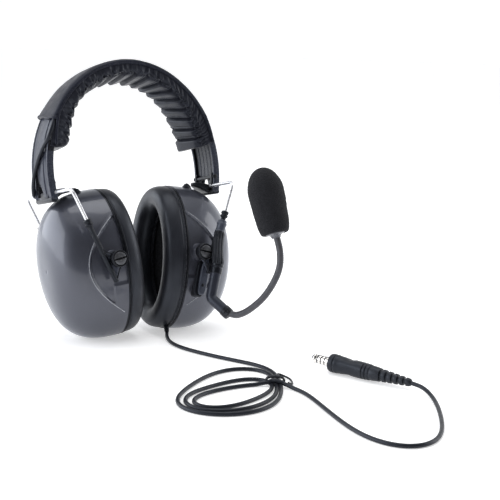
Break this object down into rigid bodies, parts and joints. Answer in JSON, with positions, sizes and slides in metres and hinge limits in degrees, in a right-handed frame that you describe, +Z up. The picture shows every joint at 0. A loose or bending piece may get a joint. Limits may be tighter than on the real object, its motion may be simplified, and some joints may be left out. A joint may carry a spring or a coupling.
{
  "type": "aviation headset",
  "caption": "Circumaural headset with two domed ear cups on sliding wire yokes, padded headband, swivelling gooseneck microphone, and a coiled lead ending in a four-contact plug.",
  "frame": {"origin": "on the table, under the middle of the box around the headset itself, without its lead, coil and plug", "axes": "+Z up, +X towards the microphone side (the wearer's left), -Y the way the wearer faces"},
  "size_m": [0.1746, 0.3593, 0.2086],
  "materials": {
    "cup_grey": "gloss",
    "black_plastic": "satin",
    "cushion_skin": "satin",
    "acoustic_foam": "matt",
    "driver_metal": "satin",
    "board": "satin",
    "screw_black": "satin",
    "rubber_black": "satin",
    "yoke_steel": "polished",
    "cover_satin": "satin",
    "pad_foam": "matt",
    "gooseneck_black": "satin",
    "housing_grey": "satin",
    "tie_black": "matt",
    "contact_nickel": "polished"
  },
  "bodies": {
    "cup_left": {"cup_shell_left": "cup_grey", "seal_plate_left": "black_plastic", "ear_cushion_left": "cushion_skin", "foam_liner_left": "acoustic_foam", "speaker_baffle_left": "black_plastic", "speaker_driver_left": "driver_metal", "cup_foam_left": "acoustic_foam", "terminal_board": "board", "pivot_screws_left": "screw_black", "cable_grommet_left": "rubber_black", "mic_lead_housing": "housing_grey", "cable_gland": "rubber_black", "cord_lead": "rubber_black", "cord_coil": "rubber_black", "cord_tie": "tie_black", "cord_tail": "rubber_black", "plug_relief": "rubber_black", "plug_body": "rubber_black", "plug_sleeve": "contact_nickel", "plug_ring_1": "contact_nickel", "plug_ring_2": "contact_nickel", "plug_tip": "contact_nickel", "plug_insulators": "black_plastic"},
    "arms_left": {"pivot_arm_front_left": "black_plastic", "pivot_arm_back_left": "black_plastic", "boom_holder": "black_plastic"},
    "yoke_left": {"yoke_wire_left": "yoke_steel"},
    "headband": {"headband_frame": "black_plastic", "headband_cover": "cover_satin", "head_pad": "pad_foam", "yoke_block_left": "black_plastic", "yoke_block_right": "black_plastic", "block_pins": "yoke_steel", "crossover_cable": "rubber_black"},
    "yoke_right": {"yoke_wire_right": "yoke_steel"},
    "arms_right": {"pivot_arm_front_right": "black_plastic", "pivot_arm_back_right": "black_plastic"},
    "cup_right": {"cup_shell_right": "cup_grey", "seal_plate_right": "black_plastic", "ear_cushion_right": "cushion_skin", "foam_liner_right": "acoustic_foam", "speaker_baffle_right": "black_plastic", "speaker_driver_right": "driver_metal", "cup_foam_right": "acoustic_foam", "pivot_screws_right": "screw_black", "cable_grommet_right": "rubber_black"},
    "mic_boom": {"boom_tube": "black_plastic", "boom_collar": "gooseneck_black", "gooseneck_lower": "gooseneck_black"},
    "microphone": {"gooseneck_upper": "gooseneck_black", "mic_capsule": "driver_metal", "windscreen": "acoustic_foam"}
  },
  "joints": [
    {"name": "cup_tilt_left", "type": "hinge", "parent": "cup_left", "child": "arms_left", "pos_m": [0.03564, 0.03074, 0.05776], "axis": [0, 0.9781, -0.2079], "range_deg": [-1.5, 10]},
    {"name": "height_left", "type": "slide", "parent": "arms_left", "child": "yoke_left", "axis": [0.3907, 0.1914, 0.9004], "range_m": [-0.002, 0.012]},
    {"name": "yoke_swing_left", "type": "hinge", "parent": "yoke_left", "child": "headband", "pos_m": [0.0671, 0.04147, 0.10825], "axis": [0, 0.9781, -0.2079], "range_deg": [-1, 25]},
    {"name": "yoke_swing_right", "type": "hinge", "parent": "headband", "child": "yoke_right", "pos_m": [-0.0671, 0.04147, 0.10825], "axis": [0, 0.9781, -0.2079], "range_deg": [-1, 25]},
    {"name": "height_right", "type": "slide", "parent": "yoke_right", "child": "arms_right", "axis": [0.3907, -0.1914, -0.9004], "range_m": [-0.002, 0.012]},
    {"name": "cup_tilt_right", "type": "hinge", "parent": "arms_right", "child": "cup_right", "pos_m": [-0.03564, 0.03074, 0.05776], "axis": [0, 0.9781, -0.2079], "range_deg": [-1.5, 10]},
    {"name": "mic_swivel", "type": "hinge", "parent": "arms_left", "child": "mic_boom", "pos_m": [0.0395, -0.02472, 0.05321], "axis": [0.309, 0.1977, 0.9303], "range_deg": [-60, 70]},
    {"name": "gooseneck_bend", "type": "hinge", "parent": "mic_boom", "child": "microphone", "pos_m": [0.053, -0.07316, 0.0451], "axis": [0.9397, 0.3345, -0.0711], "range_deg": [-25, 25]}
  ]
}
